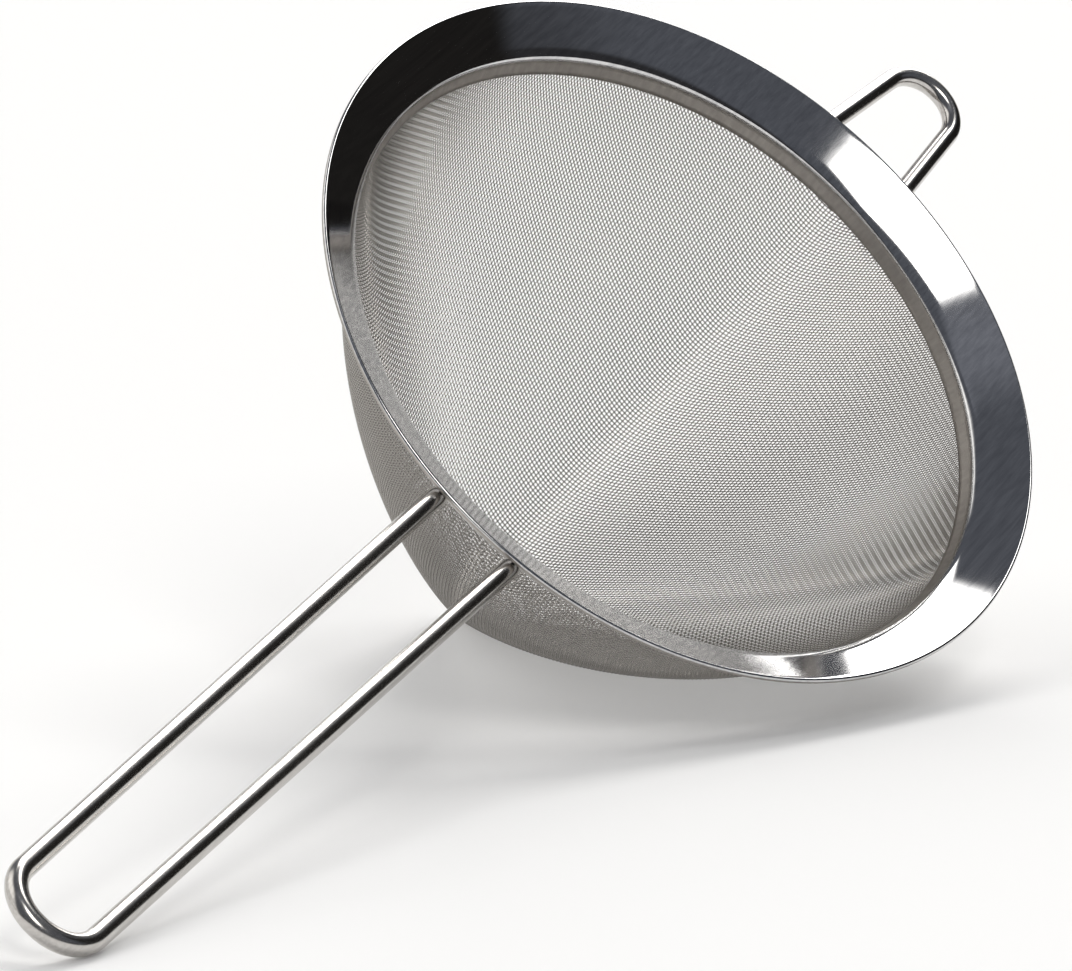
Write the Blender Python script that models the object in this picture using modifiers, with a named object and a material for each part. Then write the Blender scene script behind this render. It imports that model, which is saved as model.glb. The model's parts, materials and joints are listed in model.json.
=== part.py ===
"""A round wire-mesh kitchen strainer lying on its side.

The strainer is drawn level in its own frame: the mouth opens along +Z, the long handle runs
out along -X and the hanging loop along +X, with the rim bead's centre circle at z = 0.
Every piece is then parented to one empty that lays the object down on the floor.
"""
import math

import bpy
from mathutils import Matrix, Vector

MM = 0.001

# Rim: a pressed ring with a rolled outer bead, a sloping flange and a turned-down collar.
RIM_R = 100.0
BEAD_R = 1.0
LAND_HALF = 0.4
FLANGE_IN_R = 87.9
FLANGE_DROP = 7.0
COLLAR_BOTTOM_R = 86.0
COLLAR_BOTTOM_Z = -12.6
SHEET = 0.6

# Mesh basket: a rounded cone of woven wire cloth, its border folded up outside the collar.
BOWL_DEPTH = 116.1
BOWL_P = 0.963
BOWL_Q = 1.424
TIP_BLEND_R = 9.0
CLOTH = 0.5
CLOTH_TOP_Z = -9.0

# Clamp ring: a plain band that pinches the cloth against the collar.
BAND = 0.7
BAND_TOP_Z = -8.8
BAND_BOTTOM_Z = -13.4

# Wires: both loops are bent from the same round rod, down to two feet beside the clamp ring.
ROD_R = 2.5
FOOT_PATH = (
    (91.2, -13.0),
    (91.7, -11.9),
    (92.9, -10.6),
    (95.2, -8.3),
    (97.2, -6.35),
    (98.6, -5.15),
    (99.6, -4.5),
)
LEG_FROM = 0.8
CORNER_TURNS = 7
HANDLE_LEN = 203.8
HANDLE_HALF_ROOT = 11.9
HANDLE_HALF_END = 10.1
HANDLE_CORNER_R = 9.9
HANDLE_RISE_DEG = 10.1
HANDLE_Z = -4.1
HOOK_LEN = 37.5
HOOK_HALF_ROOT = 12.9
HOOK_HALF_END = 9.62
HOOK_CORNER_R = 10.46
HOOK_RISE_DEG = 4.5
HOOK_Z = -4.3
# The loop is welded on a little to one side of the handle's line.
HOOK_SHIFT = 1.3

# How the object lies: rolled about its handle, then tipped until the bowl and the
# lower corner of the handle both touch the floor.
LIE_ROLL_DEG = 46.15
LIE_TIP_DEG = -19.39

STEPS = 80


def clear_scene():
    for obj in list(bpy.data.objects):
        bpy.data.objects.remove(obj, do_unlink=True)


def material(name, colour, metallic, roughness):
    mat = bpy.data.materials.new(name)
    mat.use_nodes = True
    shader = mat.node_tree.nodes["Principled BSDF"]
    shader.inputs["Base Color"].default_value = (*colour, 1.0)
    shader.inputs["Metallic"].default_value = metallic
    shader.inputs["Roughness"].default_value = roughness
    mat.diffuse_color = (*colour, 1.0)
    return mat


def collar_outer_r(z):
    """Radius of the collar's outer face at height z."""
    slope = (FLANGE_IN_R - COLLAR_BOTTOM_R) / (-FLANGE_DROP - COLLAR_BOTTOM_Z)
    return COLLAR_BOTTOM_R + SHEET * 1.05 + (z - COLLAR_BOTTOM_Z) * slope


def rim_profile():
    """Section of the rim, down its outer side and back up its inner side."""
    c = RIM_R - BEAD_R
    flange = math.atan2(FLANGE_DROP, c - FLANGE_IN_R)
    under = SHEET / math.cos(flange)
    pts = [(c - LAND_HALF, BEAD_R * 0.97), (c + LAND_HALF, BEAD_R * 0.97)]
    for deg in (35, 0, -35, -68, -100, -128):
        a = math.radians(deg)
        pts.append((c + BEAD_R * math.cos(a), BEAD_R * math.sin(a)))
    for r in (97.6, 89.6):
        pts.append((r, -(c - r) * math.tan(flange) - under))
    pts.append((89.0, -7.35))
    pts.append((collar_outer_r(-8.0), -8.0))
    pts.append((collar_outer_r(COLLAR_BOTTOM_Z), COLLAR_BOTTOM_Z - 0.1))
    pts.append((COLLAR_BOTTOM_R, COLLAR_BOTTOM_Z))
    pts.append((87.62, -7.75))
    pts.append((87.85, -7.15))
    pts.append((88.35, -6.68))
    pts.append((97.9, -(c - 97.9) * math.tan(flange)))
    pts.append((98.2, 0.58))
    return pts


def basket_profile():
    """Mid-line of the woven cloth, from its hidden border down to the tip."""
    mid = 0.3 + CLOTH / 2
    pts = [(collar_outer_r(z) + mid, z) for z in (CLOTH_TOP_Z, COLLAR_BOTTOM_Z - 0.3)]
    edge = pts[-1][0] - COLLAR_BOTTOM_R
    rows = 15
    for i in range(1, rows):
        t = math.pi / 2 * i / rows
        r = COLLAR_BOTTOM_R * math.cos(t) ** (2 / BOWL_P)
        drop = BOWL_DEPTH * math.sin(t) ** (2 / BOWL_Q)
        if r < TIP_BLEND_R:
            break
        pts.append((r + edge * math.exp(-drop / 5.0), COLLAR_BOTTOM_Z - drop))
    # The tip is a shallow round dome that meets the cone at its own slope.
    (r1, z1), (r2, z2) = pts[-2], pts[-1]
    slope = (z1 - z2) / (r1 - r2)
    for part in (0.72, 0.42, 0.0):
        r = r2 * part
        pts.append((r, z2 - slope / (2 * r2) * (r2 * r2 - r * r)))
    return pts


def band_profile():
    inner = 0.3 + CLOTH + 0.3
    top, bottom = BAND_TOP_Z, BAND_BOTTOM_Z
    return [
        (collar_outer_r(top) + inner, top),
        (collar_outer_r(top) + inner + BAND, top),
        (collar_outer_r(bottom) + inner + BAND, bottom),
        (collar_outer_r(bottom) + inner, bottom),
    ]


def turned(name, profile, mat, closed, wall=None):
    """A profile in the XZ plane, turned about Z; an open one gets a wall from Solidify."""
    mesh = bpy.data.meshes.new(name)
    count = len(profile)
    edges = [(i, i + 1) for i in range(count - 1)]
    if closed:
        edges.append((count - 1, 0))
    mesh.from_pydata([(r * MM, 0.0, z * MM) for r, z in profile], edges, [])
    obj = bpy.data.objects.new(name, mesh)
    parts.objects.link(obj)
    screw = obj.modifiers.new("Turn", "SCREW")
    screw.axis = "Z"
    screw.angle = 2 * math.pi
    screw.steps = STEPS
    screw.render_steps = STEPS
    screw.use_merge_vertices = True
    screw.merge_threshold = 0.00005
    screw.use_smooth_shade = True
    if wall:
        solid = obj.modifiers.new("Wall", "SOLIDIFY")
        solid.thickness = wall * MM
        solid.offset = 0.0
        solid.use_even_offset = True
    obj.data.materials.append(mat)
    return obj


def loop_outline(root, end, length, corner):
    """Half of a U outline in its own plane: along the leg, round the corner."""
    a = Vector((LEG_FROM, root))
    b = Vector((length, end))
    d = (b - a).normalized()
    e = Vector((0.0, -1.0))
    inter = math.acos(max(-1.0, min(1.0, -d.dot(e))))
    tangent = corner / math.tan(inter / 2)
    p1 = b - d * tangent
    centre = b + (e - d).normalized() * corner / math.sin(inter / 2)
    start = math.atan2(p1.y - centre.y, p1.x - centre.x)
    sweep = -(math.pi - inter)
    arc = []
    for k in range(CORNER_TURNS + 1):
        angle = start + sweep * k / CORNER_TURNS
        arc.append(centre + corner * Vector((math.cos(angle), math.sin(angle))))
    return [a] + arc


def wire_loop(name, side, root, end, length, corner, rise_deg, base_z, shift, mat):
    """A bent rod: two turned-down feet beside the band, two legs and a rounded end."""
    rise = math.radians(rise_deg)
    out = []
    for p in loop_outline(root, end, length, corner):
        out.append(Vector((side * (RIM_R + p.x * math.cos(rise)), p.y, base_z + p.x * math.sin(rise))))
    feet = []
    # Each foot dips under the flange and lies down the band, where it is welded.
    for r, z in FOOT_PATH:
        feet.append(Vector((side * math.sqrt(r * r - root * root), root, z + base_z - HANDLE_Z)))
    half = feet + out
    whole = half + [Vector((p.x, -p.y, p.z)) for p in reversed(half)]
    curve = bpy.data.curves.new(name, "CURVE")
    curve.dimensions = "3D"
    curve.bevel_depth = ROD_R * MM
    curve.bevel_resolution = 2
    curve.use_fill_caps = True
    spline = curve.splines.new("POLY")
    spline.points.add(len(whole) - 1)
    for point, p in zip(spline.points, whole):
        point.co = (p.x * MM, (p.y + shift) * MM, p.z * MM, 1.0)
    spline.use_smooth = True
    obj = bpy.data.objects.new(name, curve)
    parts.objects.link(obj)
    obj.data.materials.append(mat)
    return obj


def set_down(pieces):
    """Lay the level object on its side, resting on the floor and centred on the origin."""
    roll = Matrix.Rotation(math.radians(LIE_ROLL_DEG), 4, "X")
    turn = Matrix.Rotation(math.radians(LIE_TIP_DEG), 4, "Y") @ roll
    lie.matrix_world = turn
    for obj in pieces:
        obj.parent = lie
    bpy.context.view_layer.update()
    graph = bpy.context.evaluated_depsgraph_get()
    low = Vector((1e9, 1e9, 1e9))
    high = -low
    for obj in pieces:
        evaluated = obj.evaluated_get(graph)
        mesh = evaluated.to_mesh()
        for vertex in mesh.vertices:
            p = evaluated.matrix_world @ vertex.co
            low = Vector(map(min, low, p))
            high = Vector(map(max, high, p))
        evaluated.to_mesh_clear()
    middle = (low + high) / 2
    lie.matrix_world = Matrix.Translation((-middle.x, -middle.y, -low.z)) @ turn
    bpy.context.view_layer.update()


clear_scene()
parts = bpy.data.collections.new("strainer")
bpy.context.scene.collection.children.link(parts)
lie = bpy.data.objects.new("lie", None)
parts.objects.link(lie)

polished = material("polished_steel", (0.62, 0.61, 0.60), 1.0, 0.16)
satin = material("satin_steel", (0.50, 0.48, 0.46), 1.0, 0.35)
cloth = material("wire_cloth", (0.52, 0.50, 0.47), 1.0, 0.40)
rod = material("rod_steel", (0.60, 0.58, 0.56), 1.0, 0.20)
loop = material("loop_steel", (0.60, 0.58, 0.56), 1.0, 0.20)

rim_flange = turned("rim_flange", rim_profile(), polished, True)
clamp_ring = turned("clamp_ring", band_profile(), satin, True)
mesh_basket = turned("mesh_basket", basket_profile(), cloth, False, CLOTH)
handle_wire = wire_loop(
    "handle_wire",
    -1,
    HANDLE_HALF_ROOT,
    HANDLE_HALF_END,
    HANDLE_LEN,
    HANDLE_CORNER_R,
    HANDLE_RISE_DEG,
    HANDLE_Z,
    0.0,
    rod,
)
hook_wire = wire_loop(
    "hook_wire",
    1,
    HOOK_HALF_ROOT,
    HOOK_HALF_END,
    HOOK_LEN,
    HOOK_CORNER_R,
    HOOK_RISE_DEG,
    HOOK_Z,
    HOOK_SHIFT,
    loop,
)
set_down([rim_flange, clamp_ring, mesh_basket, handle_wire, hook_wire])
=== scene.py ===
"""A wire-mesh kitchen strainer lying on its side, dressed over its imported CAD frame."""
import json
import math

import bpy
import numpy as np
from mathutils import Matrix, Vector


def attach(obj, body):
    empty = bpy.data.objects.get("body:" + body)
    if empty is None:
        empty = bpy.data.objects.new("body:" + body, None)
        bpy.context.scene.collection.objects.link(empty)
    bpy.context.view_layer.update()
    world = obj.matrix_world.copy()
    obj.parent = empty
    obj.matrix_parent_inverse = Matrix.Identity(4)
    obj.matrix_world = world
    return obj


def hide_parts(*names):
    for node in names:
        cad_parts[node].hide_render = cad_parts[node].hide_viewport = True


MM = 0.001
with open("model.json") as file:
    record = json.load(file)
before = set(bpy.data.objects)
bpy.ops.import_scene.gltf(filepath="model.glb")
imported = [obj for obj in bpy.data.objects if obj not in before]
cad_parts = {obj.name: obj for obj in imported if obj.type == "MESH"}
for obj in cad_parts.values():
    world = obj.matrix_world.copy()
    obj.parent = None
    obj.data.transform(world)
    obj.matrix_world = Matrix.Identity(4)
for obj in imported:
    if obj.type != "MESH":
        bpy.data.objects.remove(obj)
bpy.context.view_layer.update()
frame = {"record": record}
mounts = {m["name"]: m for m in frame["record"]["mounts"]}

# ---- the strainer's own frame: z out of the mouth, x towards the hanging loop ----
AX = Vector(mounts["rim_land"]["axis"]).normalized()
EX = Vector(mounts["hanging_loop"]["axis"]).normalized()
EX = (EX - AX * EX.dot(AX)).normalized()
EY = AX.cross(EX)
# The rim's flat crest, where the mount sits, in mm from the middle of the mouth.
CREST_R, CREST_Z = 99.0, 0.97
ORIGIN = Vector(mounts["rim_land"]["pos_m"]) - EX * (CREST_R * MM) - AX * (CREST_Z * MM)
LOCAL = Matrix.Translation(ORIGIN) @ Matrix((EX, EY, AX)).transposed().to_4x4()
TO_LOCAL = LOCAL.inverted()
TURN = np.array(LOCAL.to_3x3())
SHIFT = np.array(LOCAL.translation)


def placed(points_mm):
    """Points in the strainer's own frame, in mm, to metres in the shared frame."""
    return np.asarray(points_mm, float) * MM @ TURN.T + SHIFT


# ---- driving dimensions, mm, as in the CAD ----
RIM_R, BEAD_R, IN_R, DROP = 100.0, 1.0, 87.9, 7.0
BOT_R, BOT_Z, SHEET = 86.0, -12.6, 0.6
# The bowl: its depth, the two powers of its profile, and the radius of its rounded tip.
DEPTH, BP, BQ, TIP_R = 116.1, 0.963, 1.424, 9.0
# How far the cloth leans to the side for each mm below the collar.
LEAN = -0.036
# The wires' radius, and how far the cloth's middle stays above the ground.
WIRE_R, GROUND_GAP = 0.148, 0.35
# The weave: its two pitches, and the directions of its wires where they start at the tip.
PITCH_U, PITCH_V = 0.955, 1.11
ARM_U, ARM_V = -2.0, 103.0
# The rods: their radius, and where their straight legs start beyond the rim.
ROD_R, LEG_FROM = 2.5, 0.8


def collar_outer(z):
    """Radius of the collar's outer face at a height."""
    slope = (IN_R - BOT_R) / (-DROP - BOT_Z)
    return BOT_R + SHEET * 1.05 + (z - BOT_Z) * slope


# ---- node helpers ----
def new_mat(name):
    mat = bpy.data.materials.new(name)
    mat.use_nodes = True
    nt = mat.node_tree
    return mat, nt, nt.nodes["Principled BSDF"]


def noise(nt, scale_xyz, scale, detail, rough=0.55):
    """Noise in the strainer's own frame, so drawn lines run along or across the part."""
    tc = nt.nodes.new("ShaderNodeTexCoord")
    back = nt.nodes.new("ShaderNodeMapping")
    back.inputs["Location"].default_value = TO_LOCAL.translation
    back.inputs["Rotation"].default_value = TO_LOCAL.to_euler("XYZ")
    mp = nt.nodes.new("ShaderNodeMapping")
    mp.inputs["Scale"].default_value = scale_xyz
    tex = nt.nodes.new("ShaderNodeTexNoise")
    tex.inputs["Scale"].default_value = scale
    tex.inputs["Detail"].default_value = detail
    tex.inputs["Roughness"].default_value = rough
    nt.links.new(tc.outputs["Object"], back.inputs["Vector"])
    nt.links.new(back.outputs["Vector"], mp.inputs["Vector"])
    nt.links.new(mp.outputs["Vector"], tex.inputs["Vector"])
    return tex.outputs["Fac"]


def spread(nt, fac, lo, hi, a=0.3, b=0.7):
    """Stretches the part of a noise between a and b over lo to hi."""
    r = nt.nodes.new("ShaderNodeMapRange")
    r.inputs["From Min"].default_value = a
    r.inputs["From Max"].default_value = b
    r.inputs["To Min"].default_value = lo
    r.inputs["To Max"].default_value = hi
    nt.links.new(fac, r.inputs["Value"])
    return r.outputs["Result"]


def mix_colour(nt, fac, a, b):
    m = nt.nodes.new("ShaderNodeMix")
    m.data_type = "RGBA"
    m.inputs["A"].default_value = (*a, 1)
    m.inputs["B"].default_value = (*b, 1)
    nt.links.new(fac, m.inputs["Factor"])
    return m.outputs["Result"]


def add_bump(nt, bsdf, height, strength, distance):
    b = nt.nodes.new("ShaderNodeBump")
    b.inputs["Strength"].default_value = strength
    b.inputs["Distance"].default_value = distance
    nt.links.new(height, b.inputs["Height"])
    nt.links.new(b.outputs["Normal"], bsdf.inputs["Normal"])


def steel(name, dark, light, r_lo, r_hi, grain, grain_scale, bump, clouds=18.0):
    """Steel with drawn lines in its tone and height, and soft patches of wear in its gloss."""
    mat, nt, b = new_mat(name)
    b.inputs["Metallic"].default_value = 1.0
    lines = noise(nt, grain, grain_scale, 4.0, 0.6)
    cloud = noise(nt, (1, 1, 1), clouds, 2.0)
    nt.links.new(mix_colour(nt, spread(nt, lines, 0, 1), dark, light), b.inputs["Base Color"])
    nt.links.new(spread(nt, cloud, r_lo, r_hi), b.inputs["Roughness"])
    add_bump(nt, b, lines, bump, 0.00002)
    return mat


# Each steel: its dark and light tones, its gloss range, its lines' stretch and scale, and how deep they are.
rim_mat = steel("rim_polished", (0.50, 0.50, 0.51), (0.72, 0.715, 0.715), 0.05, 0.09,
                (0.03, 1.0, 0.5), 900.0, 0.03)
collar_mat = steel("collar_satin", (0.36, 0.335, 0.31), (0.46, 0.43, 0.40), 0.40, 0.5,
                   (1.0, 1.0, 0.1), 700.0, 0.3)
band_mat = steel("band_satin", (0.42, 0.40, 0.38), (0.52, 0.50, 0.47), 0.25, 0.4,
                 (0.1, 0.1, 1.0), 900.0, 0.2)
rod_mat = steel("rod_polished", (0.50, 0.48, 0.455), (0.62, 0.60, 0.575), 0.17, 0.25,
                (0.05, 1.0, 1.0), 1500.0, 0.2)
loop_mat = steel("loop_polished", (0.52, 0.50, 0.48), (0.64, 0.62, 0.60), 0.15, 0.24,
                 (0.3, 1.0, 1.0), 900.0, 0.1)
weld_mat = steel("weld_bead", (0.30, 0.27, 0.24), (0.48, 0.45, 0.42), 0.3, 0.5,
                 (1.0, 1.0, 1.0), 900.0, 0.5)


def wire_material(name, colour, rough):
    mat, nt, b = new_mat(name)
    b.inputs["Metallic"].default_value = 1.0
    b.inputs["Base Color"].default_value = (*colour, 1)
    b.inputs["Roughness"].default_value = rough
    return mat


warp_mat = wire_material("cloth_warp", (0.41, 0.39, 0.365), 0.17)
weft_mat = wire_material("cloth_weft", (0.38, 0.362, 0.337), 0.20)


# ---- mesh helpers ----
def mesh_object(name, verts, faces, mat):
    """A smooth mesh from arrays, for many faces with the same number of corners."""
    me = bpy.data.meshes.new(name)
    verts = placed(verts).astype(np.float32)
    faces = np.asarray(faces, np.int32)
    n, k = faces.shape
    me.vertices.add(len(verts))
    me.vertices.foreach_set("co", verts.ravel())
    me.loops.add(n * k)
    me.loops.foreach_set("vertex_index", faces.ravel())
    me.polygons.add(n)
    me.polygons.foreach_set("loop_start", np.arange(n, dtype=np.int32) * k)
    me.polygons.foreach_set("loop_total", np.full(n, k, np.int32))
    me.polygons.foreach_set("use_smooth", np.full(n, True))
    me.update(calc_edges=True)
    me.validate()
    me.materials.append(mat)
    obj = bpy.data.objects.new(name, me)
    bpy.context.scene.collection.objects.link(obj)
    return obj


def lathe(name, profile, mat, steps):
    """A closed section turned about z."""
    p = np.array(profile, float)
    a = np.linspace(0, 2 * np.pi, steps, endpoint=False)
    n = len(p)
    v = np.stack([np.outer(np.cos(a), p[:, 0]), np.outer(np.sin(a), p[:, 0]),
                  np.tile(p[:, 1], (steps, 1))], -1).reshape(-1, 3)
    i, j = np.meshgrid(np.arange(steps), np.arange(n), indexing="ij")
    i, j = i.ravel(), j.ravel()
    i2, j2 = (i + 1) % steps, (j + 1) % n
    f = np.stack([i * n + j, i * n + j2, i2 * n + j2, i2 * n + j], 1)
    return mesh_object(name, v, f, mat)


def arc(cx, cz, r, a0, a1, n):
    """Points on a circle from angle a0 to a1, in degrees."""
    t = np.radians(np.linspace(a0, a1, n))
    return [(cx + r * math.cos(u), cz + r * math.sin(u)) for u in t]


# ---- rim: folded hem, flange and collar in one pressed sheet ----
HEM_R, HEM_FALL = 0.55, 0.4
RIM_STEPS, BAND_STEPS = 320, 256
HEM_POINTS, FOLD_POINTS = 14, 12
# From the hem's outermost point to part way round the fold, its faces are satin.
SATIN_FROM, SATIN_TO = 13, 22


def rim_section():
    """The closed section, and the range of its points that make the collar's inner face."""
    c = RIM_R - BEAD_R
    beta = math.atan2(DROP, c - IN_R)
    k = math.tan(beta)
    under = SHEET / math.cos(beta)
    # The flange runs straight to its edge, then folds over outwards and down.
    cx = RIM_R - 0.02 - HEM_R
    top = cx - HEM_R * math.sin(beta)
    cz = -(c - top) * k - HEM_R * math.cos(beta)
    pts = arc(cx, cz, HEM_R, 90 + math.degrees(beta), 0, HEM_POINTS)
    pts += arc(cx, cz - HEM_FALL, HEM_R, 0, -125, FOLD_POINTS)
    for r in np.linspace(98.2, 90.0, 10):
        pts.append((r, -(c - r) * k - under))
    pts += [(89.3, -7.1), (88.9, -7.5), (88.6, -8.0)]
    for z in (-9.0, -10.8, BOT_Z + 0.1):
        pts.append((collar_outer(z), z))
    pts += [(BOT_R + 0.45, BOT_Z - 0.16), (BOT_R + 0.18, BOT_Z - 0.12), (BOT_R, BOT_Z + 0.08)]
    collar_from = len(pts) - 1
    slope = (IN_R - BOT_R) / (-DROP - BOT_Z)
    # The bend from collar to flange turns tightly first, then eases into the straight slope.
    bend = [(0.0, 0.0)]
    angle = 108.7
    for to, rad, n in ((60, 1.0, 9), (47, 2.2, 4), (38, 7.0, 4), (math.degrees(beta), 16.0, 5)):
        for m in range(n):
            mid = math.radians(angle - (angle - to) * (m + 0.5) / n)
            step = rad * math.radians(angle - to) / n
            bend.append((bend[-1][0] + step * math.cos(mid), bend[-1][1] + step * math.sin(mid)))
        angle = to
    # Slide the bend until its ends lie on the collar's line and on the flange's line.
    ex, ez = bend[-1]
    z0 = (-(c - ex - BOT_R + BOT_Z * slope) * k - ez) / (1 - slope * k)
    x0 = BOT_R + (z0 - BOT_Z) * slope
    for z in (-11.4, -10.4, -9.6):
        if z < z0 - 0.2:
            pts.append((BOT_R + (z - BOT_Z) * slope, z))
    collar_to = len(pts)
    pts += [(x0 + x, z0 + z) for x, z in bend]
    inner = pts[-1][0]
    for r in np.linspace(inner, top, 12)[1:-1]:
        pts.append((r, -(c - r) * k))
    return pts, (collar_from, collar_to)


section, collar_span = rim_section()
rim = lathe("rim_flange_skin", section, rim_mat, RIM_STEPS)
rim.data.materials.append(collar_mat)
satin = [collar_span[0] <= k < collar_span[1] or SATIN_FROM <= k < SATIN_TO for k in range(len(section))]
rim.data.polygons.foreach_set("material_index", np.tile(np.array(satin, np.int32), RIM_STEPS))
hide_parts("rim_flange")


def band_section():
    """The clamp ring's closed section, with its four corners eased."""
    # Outside the collar come a gap, the cloth and a second gap.
    inner = 0.3 + 0.5 + 0.3
    top, bottom, t = -8.8, -13.4, 0.7
    a, b = collar_outer(top) + inner, collar_outer(bottom) + inner
    pts = [(a + 0.15, top), (a + t - 0.2, top), (a + t, top - 0.2)]
    for k in np.linspace(0.2, 0.8, 4):
        pts.append((a + t + (b - a) * k, top + (bottom - top) * k))
    pts += [(b + t, bottom + 0.2), (b + t - 0.2, bottom), (b + 0.15, bottom), (b, bottom + 0.15)]
    for k in np.linspace(0.8, 0.2, 4):
        pts.append((a + (b - a) * k, top + (bottom - top) * k))
    pts.append((a, top - 0.15))
    return pts


band = lathe("clamp_ring_skin", band_section(), band_mat, BAND_STEPS)
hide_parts("clamp_ring")


# ---- wire loops ----
ROD_SIDES = 28
# A rod's end bulges by this share of its radius, with rings at these angles.
DOME, DOME_TURNS = 0.55, (18, 38, 60, 80)


def frames(path):
    """The direction and two square directions at each point, carried along without twist."""
    d = np.gradient(path, axis=0)
    d /= np.linalg.norm(d, axis=1, keepdims=True)
    up = np.array([0.0, 0.0, 1.0])
    if abs(d[0] @ up) > 0.9:
        up = np.array([1.0, 0.0, 0.0])
    a = up - d[0] * (up @ d[0])
    out = []
    for k in range(len(path)):
        a = a - d[k] * (a @ d[k])
        a /= np.linalg.norm(a)
        out.append(a.copy())
    a = np.array(out)
    return d, a, np.cross(d, a)


def tube(path, radius, sides):
    """A closed round bar along a path, with domed ends."""
    path = np.asarray(path, float)
    d, a, b = frames(path)
    rings, centres, rad = [], [], []
    for k in reversed(DOME_TURNS):
        t = math.radians(k)
        centres.append(path[0] - d[0] * radius * DOME * math.sin(t))
        rad.append((radius * math.cos(t), 0))
    for k in range(len(path)):
        centres.append(path[k])
        rad.append((radius, k))
    for k in DOME_TURNS:
        t = math.radians(k)
        centres.append(path[-1] + d[-1] * radius * DOME * math.sin(t))
        rad.append((radius * math.cos(t), len(path) - 1))
    th = np.linspace(0, 2 * np.pi, sides, endpoint=False)
    for c, (r, k) in zip(centres, rad):
        rings.append(c + r * (np.outer(np.cos(th), a[k]) + np.outer(np.sin(th), b[k])))
    v = np.concatenate(rings)
    m = len(rings)
    f = []
    for k in range(m - 1):
        for s in range(sides):
            s2 = (s + 1) % sides
            f.append((k * sides + s, k * sides + s2, (k + 1) * sides + s2, (k + 1) * sides + s))
    first, last = len(v), len(v) + 1
    v = np.vstack([v, rings[0].mean(0), rings[-1].mean(0)])
    tri = []
    for s in range(sides):
        s2 = (s + 1) % sides
        tri.append((first, s2, s))
        tri.append((last, (m - 1) * sides + s, (m - 1) * sides + s2))
    return v, f, tri


def poly_object(name, v, faces, mat):
    """A smooth mesh from lists, for faces with different numbers of corners."""
    me = bpy.data.meshes.new(name)
    me.from_pydata([tuple(p) for p in placed(v)], [], faces)
    me.update()
    me.polygons.foreach_set("use_smooth", [True] * len(me.polygons))
    me.materials.append(mat)
    obj = bpy.data.objects.new(name, me)
    bpy.context.scene.collection.objects.link(obj)
    return obj


def smooth_path(points, step):
    """Catmull-Rom through the points, resampled evenly."""
    p = np.asarray(points, float)
    q = np.vstack([2 * p[0] - p[1], p, 2 * p[-1] - p[-2]])
    out = []
    for k in range(1, len(q) - 2):
        p0, p1, p2, p3 = q[k - 1], q[k], q[k + 1], q[k + 2]
        n = max(2, int(np.linalg.norm(p2 - p1) / step))
        for t in np.linspace(0, 1, n, endpoint=False):
            out.append(0.5 * (2 * p1 + (p2 - p0) * t + (2 * p0 - 5 * p1 + 4 * p2 - p3) * t * t
                              + (3 * p1 - p0 - 3 * p2 + p3) * t ** 3))
    out.append(q[-2])
    return np.array(out)


CORNER_POINTS = 21


def loop_half(root, end, length, corner):
    """One leg of a wire loop and half of its end, as (out, across) points from the rim."""
    a, b = np.array([LEG_FROM, root]), np.array([length, end])
    d = (b - a) / np.linalg.norm(b - a)
    e = np.array([0.0, -1.0])
    inter = math.acos(max(-1, min(1, float(-d @ e))))
    tangent = corner / math.tan(inter / 2)
    p1 = b - d * tangent
    bis = (e - d) / np.linalg.norm(e - d)
    centre = b + bis * corner / math.sin(inter / 2)
    start = math.atan2(*(p1 - centre)[::-1])
    sweep = -(math.pi - inter)
    turns = [start + sweep * t for t in np.linspace(0, 1, CORNER_POINTS)]
    curve = [centre + corner * np.array([math.cos(u), math.sin(u)]) for u in turns]
    legs = [a + (p1 - a) * t for t in np.linspace(0, 1, max(3, int(length / 12)), endpoint=False)]
    return legs + curve


# A foot's (radius, height) points, from the clamp ring out to the rim.
FOOT_PATH = ((91.2, -13.0), (91.7, -11.9), (92.9, -10.6), (95.2, -8.3),
             (97.2, -6.35), (98.6, -5.15), (99.6, -4.5))
# The foot's points are given for a loop that leaves the rim this far down.
FOOT_BASE = -4.1
# Spacing of rings in the bends and along the straights.
BEND_STEP, STRAIGHT_STEP = 0.9, 3.0


def wire_loop(name, side, root, end, length, corner, rise_deg, base_z, shift, mat):
    """A U of round rod with turned-in feet, and the paths of its two halves, from the feet."""
    rise = math.radians(rise_deg)
    foot = [(side * math.sqrt(r * r - root * root), root, z + base_z - FOOT_BASE) for r, z in FOOT_PATH]
    out = [(side * (RIM_R + p[0] * math.cos(rise)), p[1], base_z + p[0] * math.sin(rise))
           for p in loop_half(root, end, length, corner)]
    half = np.array(foot + out)
    # The foot and the first two points of the leg are smoothed as one bend.
    bent = len(FOOT_PATH) + 2
    line = [smooth_path(half[:bent], BEND_STEP)[:-1]]
    for p, q in zip(half[bent - 1:-1], half[bent:]):
        n = max(1, int(np.linalg.norm(q - p) / STRAIGHT_STEP))
        line.append(p + (q - p) * np.linspace(0, 1, n, endpoint=False)[:, None])
    line.append(half[-1:])
    one = np.vstack(line)
    one = one[np.r_[True, np.linalg.norm(np.diff(one, axis=0), axis=1) > 0.05]]
    # The middle of the end lies on the centre line, and is in the path once.
    one[-1, 1] = 0.0
    other = one[-2::-1] * [1, -1, 1]
    offset = np.array([0.0, shift, 0.0])
    v, f, tri = tube(np.vstack([one, other]) + offset, ROD_R, ROD_SIDES)
    return poly_object(name, v, f + tri, mat), half + offset, half * [1, -1, 1] + offset


handle, *handle_feet = wire_loop("handle_wire_skin", side=-1, root=11.9, end=10.1, length=203.8,
                                 corner=9.9, rise_deg=10.1, base_z=-4.1, shift=0.0, mat=rod_mat)
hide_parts("handle_wire")
hook, *hook_feet = wire_loop("hook_wire_skin", side=1, root=12.9, end=9.62, length=37.5,
                             corner=10.46, rise_deg=4.5, base_z=-4.3, shift=1.3, mat=loop_mat)
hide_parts("hook_wire")


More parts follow.
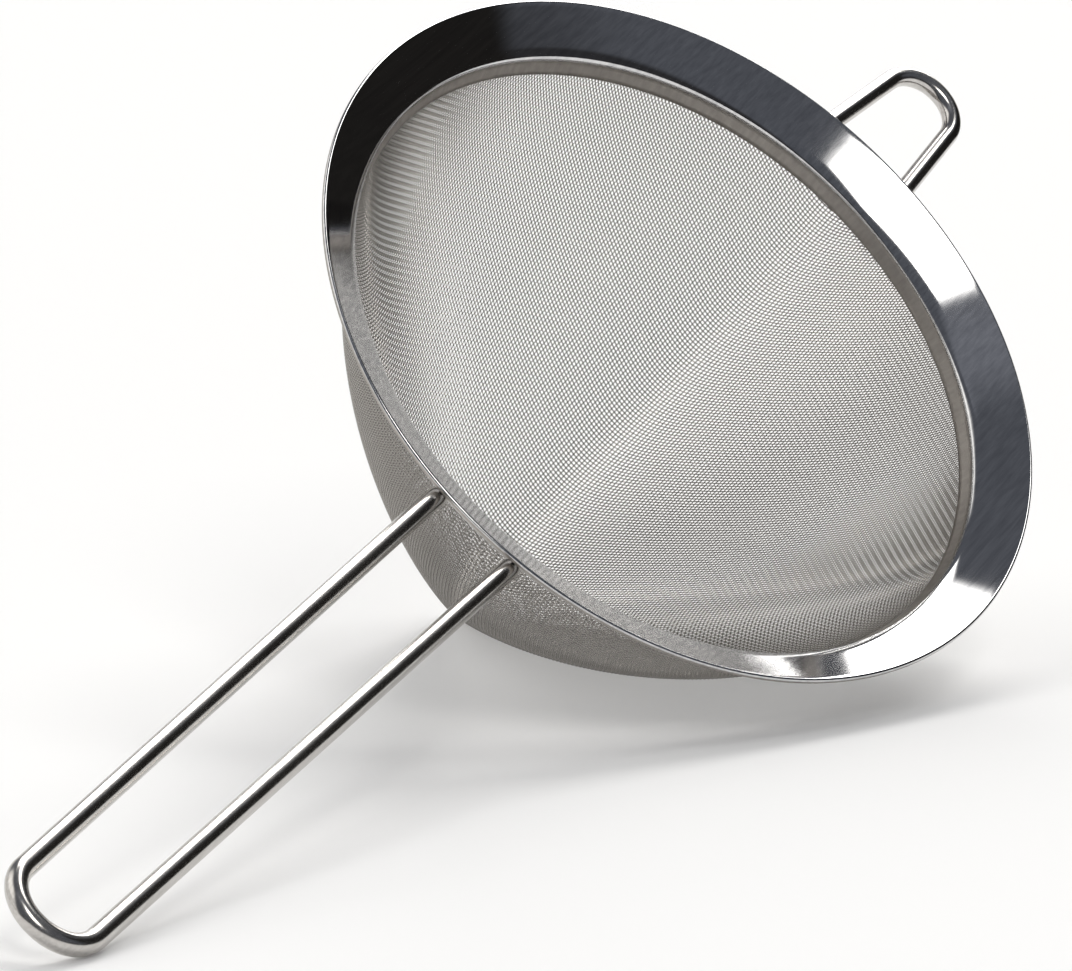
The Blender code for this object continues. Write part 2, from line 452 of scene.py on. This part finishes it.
# ---- weld beads between each foot and the clamp ring ----
# Half its length, width and thickness, and how far its middle sits inside the rod's surface.
WELD_LONG, WELD_WIDE, WELD_THICK, WELD_SUNK = 2.7, 1.9, 0.55, 0.15


def weld(name, path):
    """A small uneven bead on the inner side of a foot."""
    a, b = path[0], path[2]
    mid = (a + b) / 2
    radial = np.array([mid[0], mid[1], 0.0])
    radial /= np.linalg.norm(radial)
    along = (b - a) / np.linalg.norm(b - a)
    across = np.cross(radial, along)
    centre = mid - radial * (ROD_R - WELD_SUNK)
    n, m = 18, 10
    v, f = [], []
    for i in range(m + 1):
        t = math.pi * i / m
        for j in range(n):
            u = 2 * math.pi * j / n
            w = 1 + 0.10 * math.sin(5 * u + 7 * t) * math.sin(t)
            v.append(centre + along * WELD_LONG * math.cos(t)
                     + across * WELD_WIDE * w * math.sin(t) * math.cos(u)
                     + radial * WELD_THICK * w * math.sin(t) * math.sin(u))
    for i in range(m):
        for j in range(n):
            f.append((i * n + j, i * n + (j + 1) % n, (i + 1) * n + (j + 1) % n, (i + 1) * n + j))
    obj = poly_object(name, np.array(v), f, weld_mat)
    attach(obj, "root")


for name, feet in (("handle", handle_feet), ("hook", hook_feet)):
    weld(name + "_weld_a", feet[0])
    weld(name + "_weld_b", feet[1])


# ---- woven basket: every wire is a piece of geometry ----
FLARE, FLARE_FALL = 0.9, 5.0
# The clamp's lower edge, the cloth's distance from the collar, and its hidden upper edge.
CLAMP_LOW, CLOTH_OUT, CLOTH_TOP = -13.4, 0.55, -9.3


def basket_curve():
    """Dense (radius, z) mid-line of the cloth from tip to hidden border."""
    t = np.linspace(0, np.pi / 2, 700)[::-1]
    r = BOT_R * np.cos(t) ** (2 / BP)
    drop = DEPTH * np.sin(t) ** (2 / BQ)
    # The cloth flares a little under the clamp, and inside the clamp it follows the collar.
    rr, zz = r + FLARE * np.exp(-drop / FLARE_FALL), BOT_Z - drop
    keep = (rr >= TIP_R) & (zz < CLAMP_LOW)
    rr, zz = rr[keep], zz[keep]
    slope = (zz[1] - zz[0]) / (rr[1] - rr[0])
    tr = np.linspace(0, rr[0], 40, endpoint=False)
    tz = zz[0] - slope / (2 * rr[0]) * (rr[0] ** 2 - tr ** 2)
    top = np.linspace(BOT_Z - 0.3, 8, 60)
    return np.concatenate([tr, rr, collar_outer(top) + CLOTH_OUT]), np.concatenate([tz, zz, top])


CR, CZ = basket_curve()
order = np.argsort(CR)
CR, CZ = CR[order], CZ[order]
# The wall's slope at each of those points.
CS = np.gradient(CZ, CR)


def field(p):
    """Distance from the bowl's surface, roughly, and the direction in which it grows."""
    rho = np.hypot(p[:, 0], p[:, 1]) + 1e-9
    h = np.interp(rho, CR, CZ)
    s = np.interp(rho, CR, CS)
    g = np.stack([-s * p[:, 0] / rho, -s * p[:, 1] / rho, np.ones(len(p))], 1)
    k = 1 / np.sqrt(1 + s * s)
    return (p[:, 2] - h) * k, g * k[:, None]


def arm(angle, pitch, count):
    """Points a pitch apart along the curve straight up the wall from the tip."""
    seg = np.r_[0, np.cumsum(np.hypot(np.diff(CR), np.diff(CZ)))]
    r = np.interp(np.arange(count) * pitch, seg, CR)
    z = np.interp(np.arange(count) * pitch, seg, CZ)
    a = math.radians(angle)
    return np.stack([r * math.cos(a), r * math.sin(a), z], 1)


# A knot counts as placed when it is this near to its pitches and the bowl.
NEAR = 0.05


def net(angle_u, angle_v, nu, nv):
    """A cloth of wires that can't stretch, laid on the bowl: each knot is one pitch from two others."""
    g = np.full((nu, nv, 3), np.nan)
    g[:, 0] = arm(angle_u, PITCH_U, nu)
    g[0, :] = arm(angle_v, PITCH_V, nv)
    for k in range(2, nu + nv - 1):
        i = np.arange(max(1, k - nv + 1), min(nu, k))
        j = k - i
        a, b, c = g[i - 1, j], g[i, j - 1], g[i - 1, j - 1]
        ok = ~(np.isnan(a).any(1) | np.isnan(b).any(1) | np.isnan(c).any(1))
        i, j, a, b, c = i[ok], j[ok], a[ok], b[ok], c[ok]
        if not len(i):
            continue
        # Newton steps from the parallelogram's corner.
        p = a + b - c
        for _ in range(9):
            f3, gr = field(p)
            fa = ((p - a) ** 2).sum(1) - PITCH_U ** 2
            fb = ((p - b) ** 2).sum(1) - PITCH_V ** 2
            jac = np.stack([2 * (p - a), 2 * (p - b), gr], 1)
            jac += np.eye(3) * 1e-6
            p = p - np.clip(np.linalg.solve(jac, np.stack([fa, fb, f3], 1)[..., None])[..., 0], -0.4, 0.4)
        bad = (p[:, 2] > 5) | (np.abs(np.linalg.norm(p - a, axis=1) - PITCH_U) > NEAR)
        bad |= np.abs(np.linalg.norm(p - b, axis=1) - PITCH_V) > NEAR
        bad |= (np.abs(field(p)[0]) > NEAR) | (np.hypot(p[:, 0], p[:, 1]) > 93)
        bad |= ((p - c) ** 2).sum(1) < 0.35 ** 2
        p[bad] = np.nan
        g[i, j] = p
    return g


def relaxed(g, rounds):
    """Rounds off the kinks where the quarters of the net meet, keeping every knot on the bowl."""
    for _ in range(rounds):
        around = np.mean([np.roll(g, step, axis) for axis in (0, 1) for step in (1, -1)], 0)
        free = ~np.isnan(around).any(2) & ~np.isnan(g).any(2)
        q = g[free] + 0.5 * (around[free] - g[free])
        f, n = field(q)
        g[free] = q - f[:, None] * n
    return g


# Knots from the tip to the end of each arm, and rounds of relaxing.
NU, NV, RELAX = 178, 154, 80
grid = np.full((2 * NU - 1, 2 * NV - 1, 3), np.nan)
for su, sv, au, av in ((1, 1, ARM_U, ARM_V), (-1, 1, ARM_U + 180, ARM_V),
                       (-1, -1, ARM_U + 180, ARM_V - 180), (1, -1, ARM_U, ARM_V - 180)):
    part = net(au, av, NU, NV)
    grid[np.ix_(NU - 1 + su * np.arange(NU), NV - 1 + sv * np.arange(NV))] = part
grid = relaxed(grid, RELAX)
_, normal = field(np.nan_to_num(grid.reshape(-1, 3), nan=1.0))
normal = normal.reshape(grid.shape)
# Each wire goes over and under in turn, so knots alternate like a chessboard.
parity = (np.add.outer(np.arange(grid.shape[0]), np.arange(grid.shape[1])) % 2) * 2.0 - 1.0
valid = ~np.isnan(grid).any(2) & (np.nan_to_num(grid[..., 2], nan=99) < CLOTH_TOP)
lean = np.zeros_like(grid)
lean[..., 1] = LEAN * (BOT_Z - grid[..., 2]) * np.clip((BOT_Z - 1.0 - grid[..., 2]) / 4.0, 0, 1)


def wires(name, pts, nrm, ok, lift, mat, pieces):
    """Wires along axis 1 as four-sided bars with smoothed sides, split into a few objects."""
    ring = [(1, 0), (0, 1), (-1, 0), (0, -1)]
    d = np.empty_like(pts)
    d[:, 1:-1] = pts[:, 2:] - pts[:, :-2]
    d[:, 0] = pts[:, 1] - pts[:, 0]
    d[:, -1] = pts[:, -1] - pts[:, -2]
    fwd = pts[:, 1:] - pts[:, :-1]
    d[:, :-1] = np.where(np.isnan(d[:, :-1]), fwd, d[:, :-1])
    d[:, 1:] = np.where(np.isnan(d[:, 1:]), fwd, d[:, 1:])
    d /= np.linalg.norm(d, axis=2, keepdims=True)
    side = np.cross(d, nrm)
    side /= np.linalg.norm(side, axis=2, keepdims=True)
    centre = pts + nrm * lift[..., None]
    corners = np.stack([centre + WIRE_R * (a * side + b * nrm) for a, b in ring], 2)
    good = ok & ~np.isnan(corners).any((2, 3))
    rows = np.array_split(np.arange(pts.shape[0]), pieces)
    for num, block in enumerate(rows):
        g = good[block]
        idx = np.full(g.shape, -1)
        idx[g] = np.arange(g.sum())
        v = corners[block][g].reshape(-1, 3)
        seg = g[:, :-1] & g[:, 1:]
        a, b = idx[:, :-1][seg] * 4, idx[:, 1:][seg] * 4
        f = [np.stack([a + s, a + (s + 1) % 4, b + (s + 1) % 4, b + s], 1) for s in range(4)]
        start = g & ~np.pad(g[:, :-1], ((0, 0), (1, 0)))
        stop = g & ~np.pad(g[:, 1:], ((0, 0), (0, 1)))
        lone = start & stop
        s0, s1 = idx[start & ~lone] * 4, idx[stop & ~lone] * 4
        f.append(np.stack([s0 + 3, s0 + 2, s0 + 1, s0], 1))
        f.append(np.stack([s1, s1 + 1, s1 + 2, s1 + 3], 1))
        obj = mesh_object(f"{name}_{num + 1}", v, np.concatenate(f), mat)
        if name == "cloth_warp" and num == 0:
            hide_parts("mesh_basket")
        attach(obj, "root")


laid = grid + lean
# Cloth that would sink into the ground lies flat on it.
sunk = GROUND_GAP - laid @ TURN[2] - SHIFT[2] / MM
laid = laid + np.clip(sunk, 0, None)[..., None] * TURN[2]
# Wires press on each other where they cross.
lift = parity * WIRE_R * 0.97
PIECES = 3
wires("cloth_warp", np.swapaxes(laid, 0, 1), np.swapaxes(normal, 0, 1), valid.T, lift.T, warp_mat, PIECES)
wires("cloth_weft", laid, normal, valid, -lift, weft_mat, PIECES)

for piece in (rim, band, handle, hook):
    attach(piece, "root")

# ---- floor ----
floor_mat, nt, b = new_mat("studio_floor")
b.inputs["Base Color"].default_value = (0.86, 0.86, 0.86, 1)
b.inputs["Roughness"].default_value = 0.9
b.inputs["Specular IOR Level"].default_value = 0.2
b.inputs["Emission Color"].default_value = (1, 0.995, 0.985, 1)
b.inputs["Emission Strength"].default_value = 0.09
# A sweep of pale paper, 1.2 m wide, running away from the camera.
AWAY = math.radians(33.4)
PAPER_LONG, PAPER_WIDE, PAPER_MIDDLE, PAPER_TOP = 9.0, 1.2, 2.5, -0.0002
bpy.ops.mesh.primitive_plane_add(
    size=1, location=(PAPER_MIDDLE * math.cos(AWAY), PAPER_MIDDLE * math.sin(AWAY), PAPER_TOP))
floor = bpy.context.object
floor.scale = (PAPER_LONG, PAPER_WIDE, 1.0)
floor.rotation_euler = (0, 0, AWAY)
floor.name = "floor"
floor.data.materials.append(floor_mat)

# ---- studio: a dim room with soft boxes, painted on the world by direction ----
world = bpy.data.worlds.new("studio")
bpy.context.scene.world = world
world.use_nodes = True
wt = world.node_tree
wt.nodes.clear()
new_node = wt.nodes.new
link = wt.links.new


def w_math(op, a, b=None, clamp=False):
    m = new_node("ShaderNodeMath")
    m.operation = op
    m.use_clamp = clamp
    for k, s in enumerate((a, b)):
        if s is None:
            continue
        if isinstance(s, (int, float)):
            m.inputs[k].default_value = s
        else:
            link(s, m.inputs[k])
    return m.outputs[0]


def w_step(value, edge, soft):
    """0 below an edge and 1 above it."""
    r = new_node("ShaderNodeMapRange")
    r.interpolation_type = "SMOOTHSTEP"
    r.inputs["From Min"].default_value = edge - soft
    r.inputs["From Max"].default_value = edge + soft
    link(value, r.inputs["Value"])
    return r.outputs["Result"]


tc = new_node("ShaderNodeTexCoord")
sep = new_node("ShaderNodeSeparateXYZ")
link(tc.outputs["Generated"], sep.inputs[0])
az = w_math("MULTIPLY", w_math("ARCTAN2", sep.outputs["Y"], sep.outputs["X"]), 180 / math.pi)
el = w_math("MULTIPLY", w_math("ARCSINE", sep.outputs["Z"]), 180 / math.pi)


def band_of(value, lo, hi, soft):
    """1 between lo and hi."""
    return w_math("SUBTRACT", w_step(value, lo, soft), w_step(value, hi, soft), True)


def turn_from(centre):
    """Azimuth measured from a centre, wrapped to +-180."""
    s = w_math("ADD", w_math("SUBTRACT", az, centre), 540.0)
    return w_math("SUBTRACT", w_math("MODULO", s, 360.0), 180.0)


def patch(centre, half_w, lo, hi, soft):
    """A soft-edged patch of the room: its middle azimuth, half its width, and its elevations, in degrees."""
    return w_math("MULTIPLY", band_of(turn_from(centre), -half_w, half_w, soft), band_of(el, lo, hi, soft))


def layer(base, mask, colour):
    """Paints a colour over what is there already."""
    m = new_node("ShaderNodeMix")
    m.data_type = "RGBA"
    m.inputs["B"].default_value = (*colour, 1)
    link(mask, m.inputs["Factor"])
    if isinstance(base, tuple):
        m.inputs["A"].default_value = (*base, 1)
    else:
        link(base, m.inputs["A"])
    return m.outputs["Result"]


room = layer((0.105, 0.112, 0.130), band_of(el, -90, 8, 5), (0.035, 0.035, 0.038))
# A dim panel high above the camera, and a dark screen on the right.
room = layer(room, patch(-145, 40, 58, 74, 6), (0.20, 0.21, 0.24))
room = layer(room, patch(-36, 29, -30, 40, 3), (0.016, 0.015, 0.014))
# A bright backdrop beyond the part and to its left, and a weak fill light on the left.
room = layer(room, patch(75, 78, -10, 22, 5), (0.85, 0.84, 0.82))
room = layer(room, patch(115, 36, 24, 62, 9), (1.4, 1.385, 1.35))
# The main soft boxes: one high on the right, and one beyond the part with a dark bar near its foot.
room = layer(room, patch(-28, 24, 55, 68, 3), (5.7, 5.65, 5.5))
room = layer(room, patch(23, 21, 24, 62, 3), (6.7, 6.6, 6.45))
room = layer(room, patch(17, 11, 27, 30.5, 0.8), (0.05, 0.06, 0.10))
# A narrow soft box beside the camera, with a small dark spot in its middle.
room = layer(room, patch(-130, 9.5, 33, 57, 2), (7.0, 6.9, 6.7))
room = layer(room, patch(-131, 1.3, 42.3, 45.5, 0.8), (0.25, 0.27, 0.31))
lit = new_node("ShaderNodeBackground")
link(room, lit.inputs["Color"])
# The camera itself sees plain white behind the paper.
seen = new_node("ShaderNodeBackground")
seen.inputs["Color"].default_value = (1, 1, 1, 1)
path = new_node("ShaderNodeLightPath")
mixer = new_node("ShaderNodeMixShader")
link(path.outputs["Is Camera Ray"], mixer.inputs["Fac"])
link(lit.outputs[0], mixer.inputs[1])
link(seen.outputs[0], mixer.inputs[2])
outw = new_node("ShaderNodeOutputWorld")
link(mixer.outputs[0], outw.inputs["Surface"])

# ---- camera ----
cam_data = bpy.data.cameras.new("camera")
cam_data.sensor_width = 36.0
cam_data.lens = 180.18
cam_data.clip_end = 100
cam = bpy.data.objects.new("camera", cam_data)
bpy.context.scene.collection.objects.link(cam)
# The camera's right and up directions and its place, in the shared frame.
right = Vector((0.53944, -0.84201, -0.00367))
up = Vector((0.15872, 0.09741, 0.98251))
back = right.cross(up)
place = Matrix.Translation((-1.03102, -0.68032, 0.2939))
cam.matrix_world = place @ Matrix((right, up, back)).transposed().to_4x4()
bpy.context.scene.camera = cam
bpy.context.scene.view_settings.view_transform = "Standard"
